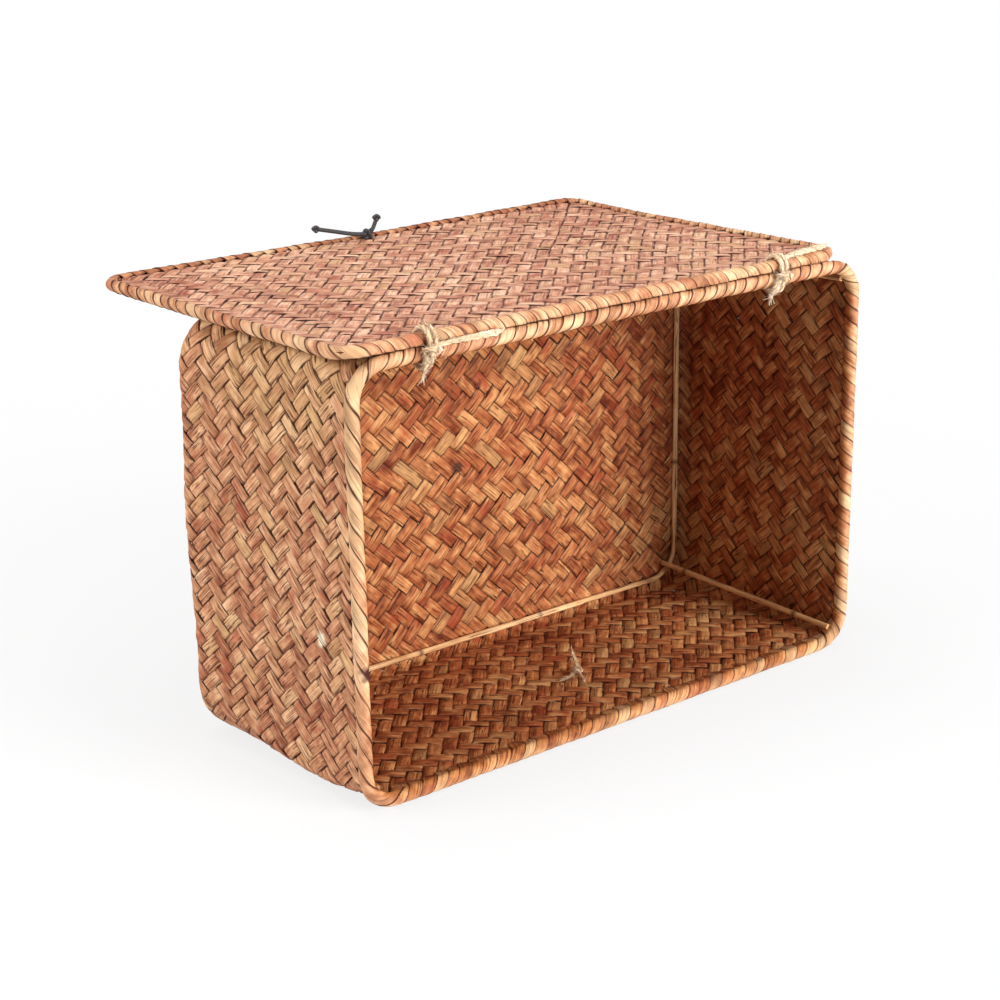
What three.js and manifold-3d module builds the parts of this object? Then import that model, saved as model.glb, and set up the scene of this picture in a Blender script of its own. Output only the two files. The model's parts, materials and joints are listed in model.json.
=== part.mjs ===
import * as THREE from "three";
import { mergeVertices } from "three/addons/utils/BufferGeometryUtils.js";
import Module from "manifold-3d";

// A plaited seagrass box with a flat lid, in millimetres. It lies on its front wall, its mouth towards -Y.
// The lid, tied to the rim along the back wall, is folded right back onto that wall, now on top.
// The box is built standing, rim up and front wall towards -Y, and then laid down.

const wasm = await Module();
wasm.setup();

// Box body
const rimLength = 360; // over the bound rim
const rimWidth = 240;
const boxDepth = 149; // rim plane to the floor's outer face
const matThickness = 3;
const rimCornerRadius = 22; // outside the bound rim
const floorLength = 370; // the ends flare out a little towards the floor
const floorShift = -5.5; // the floor has slid a little to the left
const floorCornerRadius = 30;
const floorFoldRadius = 8; // where the walls turn into the floor
const straightDepth = 10; // of wall below the rim, before the flare

// Bound edges
const rimBeadRadius = 4.5;
const rimHoopRadius = 1.5;
const lidBeadRadius = 3.75;
const lidHoopRadius = 1.3;
const bindingThickness = 0.7;

// Inner rods
const baseHoopRadius = 1.7;
const baseHoopEndInset = 10; // from the floor's outer end to the rod's centre line
const baseHoopSideInset = 7.5;
const baseHoopCornerRadius = 20;
const postRadius = 1.7;

// Lid
const lidLength = 350;
const lidWidth = 239;
const lidCornerRadius = 16;
const hingeShift = -10; // the lid and its ties sit a little left of the rim's middle

// Twine ties that hinge the lid
const twineRadius = 1.3;
const twinePitch = 3.5;
const tieTurns = 2;
const tieSpacing = 244; // between the two ties
const tieKnotRadii = [5.2, 2.9, 2.9];
const tieKnotHeightShare = 0.41; // of the way from the rim's bead to the lid's

// Black cord at the lid's front edge
const cordRadius = 1.25;
const cordLegSpacing = 4.4;
const cordAcross = 4; // right of the lid's middle
const cordInset = 2.4; // from the lid's bound edge, so that the knot clears the rim when the lid is shut
const cordKnotRadii = [3.6, 3, 2.4];
const cordEndKnotRadius = 2;
const loopDrop = 75;
const loopWidth = 17;
const longTailReach = 37.5;
const longTailRise = 8;
const shortTailReach = 6.5;
const shortTailRise = 9;

// Button under the front wall
const buttonRadius = 12;
const buttonThickness = 3.3;
const buttonDishRadius = 6.5;
const buttonDishDepth = 1.8;
const buttonHoleSpacing = 5.2;
const buttonAcross = 15; // right of the rim's middle
const buttonDown = 62; // from the rim plane
const buttonPocketDepth = 1.6; // pressed into the mat
const threadRadius = 0.9;
const threadKnotRadii = [3.6, 3, 2.2];
const threadBendShare = 0.75; // of the way from the button's middle to its hole

// Fits
const seatGap = 0.3;
const rollGap = 0.4; // between the two bound edges, and between twine and edge
const twinePlay = 0.5; // round the twine where it goes through a mat
const overrun = 1;

// Facets
const cornerSteps = 8;
const beadSides = 12;
const rodSides = 8;
const twineSides = 6;
const cordSides = 8;
const pocketSides = 24;
const buttonSides = 32;
const flareSteps = 5;
const foldSteps = 4;
const postSteps = 6;

const foldStart = boxDepth - floorFoldRadius;
const slotHalf = matThickness / 2 + seatGap;

const seagrass = new THREE.MeshStandardMaterial({ color: 0xb9814f, roughness: 0.85, metalness: 0 });
const bindingStraw = new THREE.MeshStandardMaterial({ color: 0xd9ad7c, roughness: 0.75, metalness: 0 });
const rodCane = new THREE.MeshStandardMaterial({ color: 0xb48a5e, roughness: 0.6, metalness: 0 });
const jute = new THREE.MeshStandardMaterial({ color: 0xdcc19c, roughness: 0.95, metalness: 0 });
const blackCord = new THREE.MeshStandardMaterial({ color: 0x1c1a1b, roughness: 0.6, metalness: 0 });
const shellBrown = new THREE.MeshStandardMaterial({ color: 0x5b3a24, roughness: 0.45, metalness: 0 });

function toSolid(geometry) {
  const bare = geometry.clone();
  bare.deleteAttribute("normal");
  bare.deleteAttribute("uv");
  const merged = mergeVertices(bare);
  return new wasm.Manifold(
    new wasm.Mesh({
      numProp: 3,
      vertProperties: merged.attributes.position.array,
      triVerts: new Uint32Array(merged.index.array),
    }),
  );
}

function toGeometry(solid) {
  const mesh = solid.getMesh();
  const geometry = new THREE.BufferGeometry();
  geometry.setAttribute("position", new THREE.BufferAttribute(mesh.vertProperties, 3));
  geometry.setIndex(new THREE.BufferAttribute(mesh.triVerts, 1));
  return flatShaded(geometry);
}

function flatShaded(geometry) {
  const flat = geometry.toNonIndexed();
  flat.computeVertexNormals();
  return flat;
}

function join(geometries) {
  return toGeometry(geometries.map(toSolid).reduce((whole, next) => whole.add(next)));
}

function cut(geometry, cutters) {
  return toGeometry(cutters.map(toSolid).reduce((whole, next) => whole.subtract(next), toSolid(geometry)));
}

// A rounded rectangle round the origin, anticlockwise, each point with its outward direction.
function outline(halfX, halfY, radius) {
  const points = [];
  [[1, 1], [-1, 1], [-1, -1], [1, -1]].forEach(([sideX, sideY], quarter) => {
    for (let step = 0; step <= cornerSteps; step++) {
      const angle = ((quarter + step / cornerSteps) * Math.PI) / 2;
      const out = new THREE.Vector2(Math.cos(angle), Math.sin(angle));
      const x = sideX * (halfX - radius) + radius * out.x;
      const y = sideY * (halfY - radius) + radius * out.y;
      points.push({ x, y, out });
    }
  });
  return points;
}

// Joins rings of points with equal counts; a ring of one point closes an end.
function skin(rings, ringsClose) {
  const positions = [];
  const starts = rings.map((ring) => {
    const start = positions.length / 3;
    ring.forEach((p) => positions.push(p.x, p.y, p.z));
    return start;
  });
  const count = Math.max(...rings.map((ring) => ring.length));
  const at = (j, i) => starts[j] + (rings[j].length === 1 ? 0 : i % count);
  const index = [];
  const last = ringsClose ? rings.length : rings.length - 1;
  for (let j = 0; j < last; j++) {
    const k = (j + 1) % rings.length;
    for (let i = 0; i < count; i++) {
      if (rings[j].length > 1) index.push(at(j, i), at(j, i + 1), at(k, i + 1));
      if (rings[k].length > 1) index.push(at(j, i), at(k, i + 1), at(k, i));
    }
  }
  const geometry = new THREE.BufferGeometry();
  geometry.setAttribute("position", new THREE.Float32BufferAttribute(positions, 3));
  geometry.setIndex(index);
  return flatShaded(geometry);
}

// Carries a section, given as pairs of outward and upward offsets, round an outline at one height.
function sweep(path, section, height) {
  const area = section.reduce((sum, [a, b], i) => {
    const [c, d] = section[(i + 1) % section.length];
    return sum + a * d - c * b;
  }, 0);
  const turned = area > 0 ? section : [...section].reverse();
  const rings = turned.map(([outward, up]) =>
    path.map((p) => new THREE.Vector3(p.x + outward * p.out.x, p.y + outward * p.out.y, height + up)),
  );
  return skin(rings, true);
}

function circle(radius, sides) {
  const turn = (2 * Math.PI) / sides;
  const reach = radius / Math.cos(turn / 2);
  return Array.from({ length: sides }, (_, k) => {
    const angle = (k + 0.5) * turn;
    return [reach * Math.cos(angle), reach * Math.sin(angle)];
  });
}

// Section of a bound edge: a round bead with a slot in which the hoop lies and the mat's edge sits.
// The first number of each pair runs across the mat, the second into it, where the slot is open.
function beadSection(radius) {
  const facet = Math.PI / beadSides;
  const lip = Math.min(radius, (radius - slotHalf * Math.sin(2 * facet)) / Math.cos(2 * facet));
  const kept = circle(radius, beadSides).filter(([across, into]) => into < 0 || Math.abs(across) > slotHalf);
  const byAngle = ([across, into]) => (Math.atan2(into, across) + 1.5 * Math.PI) % (2 * Math.PI);
  kept.sort((a, b) => byAngle(a) - byAngle(b));
  const slotEnd = -(radius - bindingThickness);
  return [...kept, [slotHalf, lip], [slotHalf, slotEnd], [-slotHalf, slotEnd], [-slotHalf, lip]];
}

// How far the hoop's centre and the mat's edge stand into the bead, from its centre towards the mat.
function hoopPlace(beadRadius, hoopRadius) {
  return -(beadRadius - bindingThickness) + seatGap + hoopRadius;
}

function matEdgePlace(beadRadius, hoopRadius) {
  return hoopPlace(beadRadius, hoopRadius) + hoopRadius + seatGap;
}

function ellipsoid(radii, centre) {
  const ball = new THREE.SphereGeometry(1, 12, 8);
  ball.scale(...radii);
  ball.translate(...centre);
  return ball;
}

function polygonShape(radius, sides) {
  return new THREE.Shape(circle(radius, sides).map(([x, y]) => new THREE.Vector2(x, y)));
}

function tube(points, radius, sides, stepsPerPoint) {
  const path = new THREE.CatmullRomCurve3(points.map((p) => new THREE.Vector3(...p)));
  const steps = (points.length - 1) * stepsPerPoint;
  const shape = polygonShape(radius, sides);
  return new THREE.ExtrudeGeometry(shape, { extrudePath: path, steps, bevelEnabled: false });
}

function drum(radius, length, sides, centre) {
  const cylinder = new THREE.CylinderGeometry(radius, radius, length, sides);
  cylinder.translate(...centre);
  return cylinder;
}

function block(sizes, centre) {
  const box = new THREE.BoxGeometry(...sizes);
  box.translate(...centre);
  return box;
}

// How much of the flare, and of the floor's slide to the left, is reached at a depth below the rim plane.
function flareAt(depth) {
  const share = THREE.MathUtils.clamp((depth - straightDepth) / (foldStart - straightDepth), 0, 1);
  return share * share;
}

// The mat's middle surface at a depth below the rim plane: half length, half width and corner radius.
function wallAt(depth) {
  const flare = flareAt(depth);
  const half = matThickness / 2;
  const from = [rimLength / 2 - rimBeadRadius, rimWidth / 2 - rimBeadRadius, rimCornerRadius - rimBeadRadius];
  const to = [floorLength / 2 - half, rimWidth / 2 - half, floorCornerRadius - half];
  return from.map((value, k) => value + (to[k] - value) * flare);
}

function wallRing(depth, outward) {
  const [halfX, halfY, radius] = wallAt(depth).map((value) => value + outward);
  const slide = floorShift * flareAt(depth);
  return outline(halfX, halfY, radius).map((p) => new THREE.Vector3(p.x + slide, p.y, -depth));
}

function foldRing(angle, outward) {
  const bend = floorFoldRadius - matThickness / 2 + outward;
  const inset = bend * (1 - Math.cos(angle));
  const [halfX, halfY, radius] = wallAt(foldStart).map((value) => value + outward - inset);
  const depth = foldStart + bend * Math.sin(angle);
  return outline(halfX, halfY, radius).map((p) => new THREE.Vector3(p.x + floorShift, p.y, -depth));
}

const rimSeat = rimBeadRadius + matEdgePlace(rimBeadRadius, rimHoopRadius); // depth of the mat's top edge
const tieDepth = 2 * rimBeadRadius + rollGap + twineRadius; // where the twine goes through the back wall
const tieSlotLength = tieTurns * twinePitch + 2 * (twineRadius + twinePlay);

function frontWallFace() {
  return wallAt(buttonDown)[1] + matThickness / 2;
}

function makeBodyShell() {
  const half = matThickness / 2;
  const depths = [rimSeat];
  for (let step = 0; step < flareSteps; step++) {
    depths.push(straightDepth + ((foldStart - straightDepth) * step) / flareSteps);
  }
  const angles = Array.from({ length: foldSteps + 1 }, (_, step) => ((step / foldSteps) * Math.PI) / 2);
  const outer = [...depths.map((d) => wallRing(d, half)), ...angles.map((a) => foldRing(a, half))];
  const inner = [...depths.map((d) => wallRing(d, -half)), ...angles.map((a) => foldRing(a, -half))];
  const floorOut = [new THREE.Vector3(floorShift, 0, -boxDepth)];
  const floorIn = [new THREE.Vector3(floorShift, 0, -boxDepth + matThickness)];
  const shell = skin([floorOut, ...outer.reverse(), ...inner, floorIn], false);

  const backWall = wallAt(tieDepth)[1];
  const tieSlots = [-1, 1].map((side) =>
    block(
      [tieSlotLength, matThickness + 2 * overrun, 2 * (twineRadius + twinePlay)],
      [hingeShift + (side * tieSpacing) / 2, backWall, -tieDepth],
    ),
  );
  const face = frontWallFace();
  const pocketRadius = buttonRadius + twinePlay;
  const pocket = drum(
    pocketRadius,
    buttonPocketDepth + overrun,
    pocketSides,
    [buttonAcross, -face + (buttonPocketDepth - overrun) / 2, -buttonDown],
  );
  const threadHoles = [-1, 1].map((side) =>
    drum(
      threadRadius + seatGap,
      2 * matThickness + 2 * overrun,
      rodSides,
      [buttonAcross + (side * buttonHoleSpacing) / 2, -face + matThickness / 2, -buttonDown],
    ),
  );
  return cut(shell, [...tieSlots, pocket, ...threadHoles]);
}

function rimPath() {
  return outline(...wallAt(0));
}

function makeRimWrapping() {
  const section = beadSection(rimBeadRadius).map(([across, into]) => [across, -into]);
  return sweep(rimPath(), section, -rimBeadRadius);
}

function makeRimHoop() {
  const depth = rimBeadRadius + hoopPlace(rimBeadRadius, rimHoopRadius);
  return sweep(rimPath(), circle(rimHoopRadius, rodSides), -depth);
}

const baseHoopDepth = boxDepth - matThickness - seatGap - baseHoopRadius;
const baseHoopHalf = [floorLength / 2 - baseHoopEndInset, rimWidth / 2 - baseHoopSideInset];

function makeBaseHoop() {
  const path = outline(...baseHoopHalf, baseHoopCornerRadius).map((p) => ({ ...p, x: p.x + floorShift }));
  return sweep(path, circle(baseHoopRadius, rodSides), -baseHoopDepth);
}

// A corner rod stands inside the base hoop's bend and follows the wall's corner up to the rim.
function makePost(sideX, sideY) {
  const diagonal = Math.SQRT1_2;
  const corner = (depth) => {
    const [halfX, halfY, radius] = wallAt(depth);
    const inner = (radius - matThickness / 2) * diagonal;
    return [halfX - radius + inner, halfY - radius + inner];
  };
  const footReach = (baseHoopCornerRadius - baseHoopRadius - postRadius - 2 * seatGap) * diagonal;
  const foot = baseHoopHalf.map((half) => half - baseHoopCornerRadius + footReach);
  const footDepth = boxDepth - matThickness - seatGap;
  const footInset = corner(footDepth).map((value, k) => value - foot[k]);
  const headInset = (seatGap + postRadius) * diagonal;
  const headDepth = 2 * rimBeadRadius + seatGap;
  const points = [];
  for (let step = 0; step <= postSteps; step++) {
    const share = step / postSteps;
    const depth = footDepth + (headDepth - footDepth) * share;
    const [x, y] = corner(depth).map((value, k) => value - footInset[k] - (headInset - footInset[k]) * share);
    points.push([sideX * x + floorShift * flareAt(depth), sideY * y, -depth]);
  }
  return tube(points, postRadius, rodSides, 1);
}

const buttonFace = -frontWallFace() + buttonPocketDepth - seatGap; // its inner face, across the box

function makeButton() {
  const outer = buttonFace - buttonThickness;
  const middle = [buttonAcross, (buttonFace + outer) / 2, -buttonDown];
  const disc = drum(buttonRadius, buttonThickness, buttonSides, middle);
  const dish = drum(
    buttonDishRadius,
    buttonDishDepth + overrun,
    pocketSides,
    [buttonAcross, outer + (buttonDishDepth - overrun) / 2, -buttonDown],
  );
  const holes = [-1, 1].map((side) =>
    drum(
      threadRadius + seatGap,
      buttonThickness + 2 * overrun,
      rodSides,
      [buttonAcross + (side * buttonHoleSpacing) / 2, (buttonFace + outer) / 2, -buttonDown],
    ),
  );
  return cut(disc, [dish, ...holes]);
}

// The thread crosses the button's dish and is knotted on the mat inside the box, with three short ends.
function makeButtonTie() {
  const half = buttonHoleSpacing / 2;
  const dishFloor = buttonFace - buttonThickness + buttonDishDepth;
  const crossing = dishFloor - threadRadius - (2 * seatGap) / 3;
  const matInside = -frontWallFace() + matThickness;
  const knotY = matInside + seatGap + threadKnotRadii[2];
  const place = (x, y, up) => [buttonAcross + x, y, -buttonDown + up];
  const thread = tube(
    [
      place(-half, knotY, 0),
      place(-half, dishFloor + threadRadius, 0),
      place(-half, (dishFloor + crossing) / 2, 0),
      place(-half * threadBendShare, crossing, 0),
      place(0, crossing, 0),
      place(half * threadBendShare, crossing, 0),
      place(half, (dishFloor + crossing) / 2, 0),
      place(half, dishFloor + threadRadius, 0),
      place(half, knotY, 0),
    ],
    threadRadius,
    twineSides,
    1,
  );
  const knot = ellipsoid([threadKnotRadii[0], threadKnotRadii[2], threadKnotRadii[1]], place(0, knotY, 0));
  const reach = threadKnotRadii[0];
  const endShares = [
    [[0.3, 0, -0.2], [0.9, 0.9, -1.6], [1.5, 2.4, -3.4]],
    [[0.3, 0, 0.2], [-0.9, 0.1, 2.2], [-2.2, 0.3, 5.2]],
    [[-0.3, 0, 0.1], [-1.6, -0.1, 0.8], [-2.9, -0.3, 0.6]],
  ];
  const ends = endShares.map((shares) => {
    const points = shares.map(([x, y, up]) => place(x * reach, knotY + y * reach, up * reach));
    return tube(points, threadRadius, twineSides, 2);
  });
  return join([thread, knot, ...ends]);
}

// Hinge line: the rim's bead along the back wall, with the lid's bead above it at rest.
const rimBeadY = rimBeadRadius;
const rimBeadZ = rimWidth - rimBeadRadius;
const beadDistance = rimBeadRadius + lidBeadRadius + rollGap;
const lidRestDrop = rimBeadZ + beadDistance - matThickness / 2 - (rimWidth + seatGap);
const lidTilt = Math.atan2(lidRestDrop, foldStart - rimBeadY); // so that the lid lies on the back wall

// One turn of twine round both beads, as places in the plane across them, from the middle of its front run.
function tieTurn() {
  const lower = rimBeadRadius + rollGap + twineRadius;
  const upper = lidBeadRadius + rollGap + twineRadius;
  const lean = Math.acos((lower - upper) / beadDistance);
  const front = Math.PI / 2 + lean;
  const back = Math.PI / 2 - lean;
  const at = (radius, angle, rise) => [radius * Math.cos(angle), rise + radius * Math.sin(angle)];
  const frontLow = at(lower, front, 0);
  const frontHigh = at(upper, front, beadDistance);
  const middle = frontLow.map((value, k) => (value + frontHigh[k]) / 2);
  const points = [middle];
  const lowSteps = 11;
  const highSteps = 9;
  for (let step = 0; step <= lowSteps; step++) {
    points.push(at(lower, front + ((back + 2 * Math.PI - front) * step) / lowSteps, 0));
  }
  for (let step = 0; step <= highSteps; step++) {
    points.push(at(upper, back + ((front - back) * step) / highSteps, beadDistance));
  }
  return [...points, middle];
}

// The least gap between a winding's turns, over points at least half a turn apart along it.
function leastGap(points, pointsPerTurn, radius) {
  let least = Infinity;
  points.forEach((p, i) => {
    points.slice(i + Math.ceil(pointsPerTurn / 2)).forEach((q) => {
      least = Math.min(least, Math.hypot(p[0] - q[0], p[1] - q[1], p[2] - q[2]) - 2 * radius);
    });
  });
  return least;
}

function makeHingeTie(tailShares) {
  const turn = tieTurn();
  const lengths = [0];
  turn.slice(1).forEach(([y, z], k) => {
    lengths.push(lengths[k] + Math.hypot(y - turn[k][0], z - turn[k][1]));
  });
  const whole = lengths[lengths.length - 1];
  const points = [];
  for (let round = 0; round < tieTurns; round++) {
    turn.slice(round ? 1 : 0).forEach(([y, z], k) => {
      const travelled = round + lengths[k + (round ? 1 : 0)] / whole;
      points.push([(travelled - tieTurns / 2) * twinePitch, y, z]);
    });
  }
  const winding = tube(points, twineRadius, twineSides, 1);
  const gap = leastGap(points, turn.length - 1, twineRadius);
  console.log("tie winding, least gap to itself in mm:", gap.toFixed(2));
  const reach = rimBeadRadius + rollGap;
  const knotCentre = [0, -reach - tieKnotRadii[1], beadDistance * tieKnotHeightShare];
  const knot = ellipsoid(tieKnotRadii, knotCentre);
  const tails = tailShares.map((shares) =>
    tube(shares.map(([x, y, z]) => [x * reach, y * reach, z * reach]), twineRadius, twineSides, 2),
  );
  return join([winding, knot, ...tails]);
}

// The knots' ends, in shares of the rim bead's radius and its gap, from the bead's centre.
const hangingTailShares = [[-0.2, -1.5, 0.7], [-0.5, -1.5, 0.1], [-0.8, -1.42, -0.6], [-1, -1.36, -1.5]];
const creviceTailShares = [
  [0.4, -1.3, 0.95], [2.2, -0.82, 1], [5, -0.8, 1], [7.4, -0.82, 1], [9.2, -0.95, 1.05],
];
const slantTailShares = [[-0.3, -1.5, 0.6], [-0.9, -1.5, 0], [-1.5, -1.42, -0.7], [-2, -1.36, -1.4]];
const stubTailShares = [[0.4, -1.3, 0.95], [1.6, -0.88, 1], [3.2, -0.85, 1.03]];

const lidPathHalf = [lidLength / 2 - lidBeadRadius, lidWidth / 2 - lidBeadRadius];

function lidPath() {
  return outline(...lidPathHalf, lidCornerRadius - lidBeadRadius);
}

const cordPlace = lidPathHalf[1] - lidBeadRadius - cordInset - cordRadius; // from the lid's middle

// The lid lies in its own XY plane round its middle, hinge edge towards -Y and inner face up.
function makeLidMat() {
  const half = matThickness / 2;
  const inset = matEdgePlace(lidBeadRadius, lidHoopRadius);
  const path = outline(...[...lidPathHalf, lidCornerRadius - lidBeadRadius].map((value) => value - inset));
  const ring = (z) => path.map((p) => new THREE.Vector3(p.x, p.y, z));
  const middle = (z) => [new THREE.Vector3(0, 0, z)];
  const plate = skin([middle(-half), ring(-half), ring(half), middle(half)], false);
  const near = lidBeadRadius + rollGap - twinePlay;
  const far = lidBeadRadius + rollGap + 2 * twineRadius + 2 * twinePlay;
  const tieSlots = [-1, 1].map((side) =>
    block(
      [tieSlotLength, far - near, matThickness + 2 * overrun],
      [(side * tieSpacing) / 2, -lidPathHalf[1] + (near + far) / 2, 0],
    ),
  );
  const cordSlot = block(
    [cordLegSpacing + 2 * (cordRadius + seatGap), 2 * (cordRadius + seatGap), matThickness + 2 * overrun],
    [cordAcross, cordPlace, 0],
  );
  return cut(plate, [...tieSlots, cordSlot]);
}

function makeLidWrapping() {
  const section = beadSection(lidBeadRadius).map(([across, into]) => [-into, across]);
  return sweep(lidPath(), section, 0);
}

function makeLidHoop() {
  const inward = hoopPlace(lidBeadRadius, lidHoopRadius);
  const section = circle(lidHoopRadius, rodSides).map(([outward, up]) => [outward - inward, up]);
  return sweep(lidPath(), section, 0);
}

// The cord's knot on the lid's inner face, its two ends, and its two strands through the mat.
function makeClosureKnot() {
  const faceGap = matThickness / 2 + seatGap;
  const knotZ = faceGap + cordKnotRadii[2];
  const knot = ellipsoid(cordKnotRadii, [cordAcross, cordPlace, knotZ]);
  const strands = [-1, 1].map((side) => {
    const length = knotZ + matThickness / 2;
    const strand = new THREE.CylinderGeometry(cordRadius, cordRadius, length, cordSides);
    strand.rotateX(Math.PI / 2);
    strand.translate(cordAcross + (side * cordLegSpacing) / 2, cordPlace, knotZ - length / 2);
    return strand;
  });
  const tail = (shares, reach, rise) => {
    const points = shares.map(([along, up]) => [cordAcross + along * reach, cordPlace, knotZ + up * rise]);
    const end = points[points.length - 1];
    return [tube(points, cordRadius, cordSides, 2), ellipsoid(Array(3).fill(cordEndKnotRadius), end)];
  };
  const longShares = [[0, 0], [-0.3, 0.2], [-0.65, 0.6], [-1, 1]];
  const shortShares = [[0, 0], [0.45, 0.25], [0.75, 0.6], [1, 1]];
  return join([
    knot,
    ...strands,
    ...tail(longShares, longTailReach, longTailRise),
    ...tail(shortShares, shortTailReach, shortTailRise),
  ]);
}

// The cord's loop hangs from the lid's outer face: two legs that open into a round end.
function makeClosureLoop() {
  const top = -matThickness / 2 - seatGap;
  const legShares = [[1, 0], [1, 0.04], [1.02, 0.12], [1.15, 0.25], [1.5, 0.42], [2.1, 0.6]];
  const half = cordLegSpacing / 2;
  const bendRadius = loopWidth / 2;
  const straight = loopDrop - bendRadius;
  const down = legShares.map(([out, along]) => [-half * out, top - straight * along]);
  const bend = [];
  const bendSteps = 8;
  for (let step = 0; step <= bendSteps; step++) {
    const angle = Math.PI + (Math.PI * step) / bendSteps;
    bend.push([bendRadius * Math.cos(angle), top - straight + bendRadius * Math.sin(angle)]);
  }
  const up = down.map(([x, z]) => [-x, z]).reverse();
  const points = [...down, ...bend, ...up].map(([x, z]) => [cordAcross + x, cordPlace, z]);
  return tube(points, cordRadius, cordSides, 1);
}

function piece(name, geometry, material, parent) {
  const mesh = new THREE.Mesh(geometry, material);
  mesh.name = name;
  parent.add(mesh);
}

const woven = new THREE.Group();

const box = new THREE.Group();
box.rotation.x = Math.PI / 2; // laid down on its front wall
box.position.z = rimWidth / 2;
woven.add(box);
piece("body_shell", makeBodyShell(), seagrass, box);
piece("rim_wrapping", makeRimWrapping(), bindingStraw, box);
piece("rim_hoop", makeRimHoop(), rodCane, box);
piece("base_hoop", makeBaseHoop(), rodCane, box);
piece("corner_post_front_left", makePost(-1, -1), rodCane, box);
piece("corner_post_front_right", makePost(1, -1), rodCane, box);
piece("corner_post_back_left", makePost(-1, 1), rodCane, box);
piece("corner_post_back_right", makePost(1, 1), rodCane, box);
piece("closure_button", makeButton(), shellBrown, box);
piece("button_tie", makeButtonTie(), jute, box);

const ties = new THREE.Group();
ties.position.set(hingeShift, rimBeadY, rimBeadZ);
woven.add(ties);
const leftTie = new THREE.Group();
leftTie.position.x = -tieSpacing / 2;
const rightTie = new THREE.Group();
rightTie.position.x = tieSpacing / 2;
ties.add(leftTie, rightTie);
piece("hinge_tie_left", makeHingeTie([hangingTailShares, creviceTailShares]), jute, leftTie);
piece("hinge_tie_right", makeHingeTie([slantTailShares, stubTailShares]), jute, rightTie);

const lidHinge = new THREE.Group();
lidHinge.position.set(hingeShift, rimBeadY, rimBeadZ + beadDistance);
lidHinge.rotation.x = -lidTilt;
const lid = new THREE.Group();
lid.position.set(0, lidPathHalf[1], 0);
lidHinge.add(lid);
woven.add(lidHinge);
piece("lid_mat", makeLidMat(), seagrass, lid);
piece("lid_wrapping", makeLidWrapping(), bindingStraw, lid);
piece("lid_hoop", makeLidHoop(), rodCane, lid);
piece("closure_knot", makeClosureKnot(), blackCord, lid);
piece("closure_loop", makeClosureLoop(), blackCord, lid);

// The origin is under the middle of the whole object, on the surface that it lies on.
const bounds = new THREE.Box3().setFromObject(woven, true);
woven.position.set(-(bounds.min.x + bounds.max.x) / 2, -(bounds.min.y + bounds.max.y) / 2, 0);

export default woven;
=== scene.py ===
import json
import math

import bpy
import numpy as np
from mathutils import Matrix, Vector


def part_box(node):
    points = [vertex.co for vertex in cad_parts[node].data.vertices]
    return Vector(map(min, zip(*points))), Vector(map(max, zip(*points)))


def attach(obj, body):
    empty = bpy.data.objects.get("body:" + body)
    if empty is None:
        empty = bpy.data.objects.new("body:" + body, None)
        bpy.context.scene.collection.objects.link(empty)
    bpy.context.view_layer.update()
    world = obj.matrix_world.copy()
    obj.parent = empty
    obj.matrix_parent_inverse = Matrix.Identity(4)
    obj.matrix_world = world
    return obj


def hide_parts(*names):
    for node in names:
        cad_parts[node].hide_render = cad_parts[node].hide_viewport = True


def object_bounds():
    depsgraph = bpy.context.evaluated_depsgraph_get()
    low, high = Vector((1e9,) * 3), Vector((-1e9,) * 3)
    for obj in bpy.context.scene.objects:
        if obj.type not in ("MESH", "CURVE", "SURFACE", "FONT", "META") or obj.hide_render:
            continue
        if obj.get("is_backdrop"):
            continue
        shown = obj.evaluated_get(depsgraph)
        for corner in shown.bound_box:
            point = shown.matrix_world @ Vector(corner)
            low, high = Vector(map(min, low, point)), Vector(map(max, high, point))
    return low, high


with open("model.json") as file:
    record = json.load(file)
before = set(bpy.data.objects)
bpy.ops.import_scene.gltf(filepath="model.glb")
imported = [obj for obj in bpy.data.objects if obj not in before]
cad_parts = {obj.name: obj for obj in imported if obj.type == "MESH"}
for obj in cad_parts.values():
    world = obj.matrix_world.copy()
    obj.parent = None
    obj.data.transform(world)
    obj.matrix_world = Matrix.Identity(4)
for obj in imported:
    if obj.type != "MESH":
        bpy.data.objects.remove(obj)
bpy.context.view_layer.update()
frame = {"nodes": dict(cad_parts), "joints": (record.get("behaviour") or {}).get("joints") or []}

# Lengths are in millimetres unless a note says otherwise
mm = 0.001
matHalf = 1.5  # half the plaited mats' thickness
root2 = math.sqrt(2)
fullTurn = 2 * math.pi


def nodeBox(name):
    low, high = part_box(name)
    return np.array(low) / mm, np.array(high) / mm


def jointPlace(name):
    found = next(joint for joint in frame["joints"] if joint["name"] == name)
    return np.array(found["pos_m"]) / mm


def paint(*parts):
    # a colour as a picture shows it, 0 to 255, turned into what a shader takes
    shares = [part / 255 for part in parts]
    return (*[share / 12.92 if share <= 0.04045 else ((share + 0.055) / 1.055) ** 2.4 for share in shares], 1)


def tones(dark, middle, pale):
    return [(0.1, paint(*dark)), (0.5, paint(*middle)), (0.9, paint(*pale))]


def addObject(name, data):
    thing = bpy.data.objects.new(name, data)
    bpy.context.scene.collection.objects.link(thing)
    return thing


def coatNode(name, material):
    node = frame["nodes"][name]
    node.data.materials.clear()
    node.data.materials.append(material)


# Camera

photoCamera = {
    "place": (-0.71645, -0.9140, 0.4958),  # metres
    "turn": (71.339, 0.839, -38.705),  # degrees
    "lens": 75.54,
    "sensor": 36,
    "clip": (0.05, 50),  # metres
}


def setCamera(settings):
    lens = bpy.data.cameras.new("photoCamera")
    lens.lens = settings["lens"]
    lens.sensor_width = settings["sensor"]
    lens.clip_start, lens.clip_end = settings["clip"]
    camera = addObject("photoCamera", lens)
    camera.location = settings["place"]
    camera.rotation_euler = [math.radians(angle) for angle in settings["turn"]]
    bpy.context.scene.camera = camera
    bpy.context.scene.view_settings.view_transform = "Standard"


setCamera(photoCamera)
print("camera set")


# Meshes made of closed tubes, each a row of rings

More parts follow.
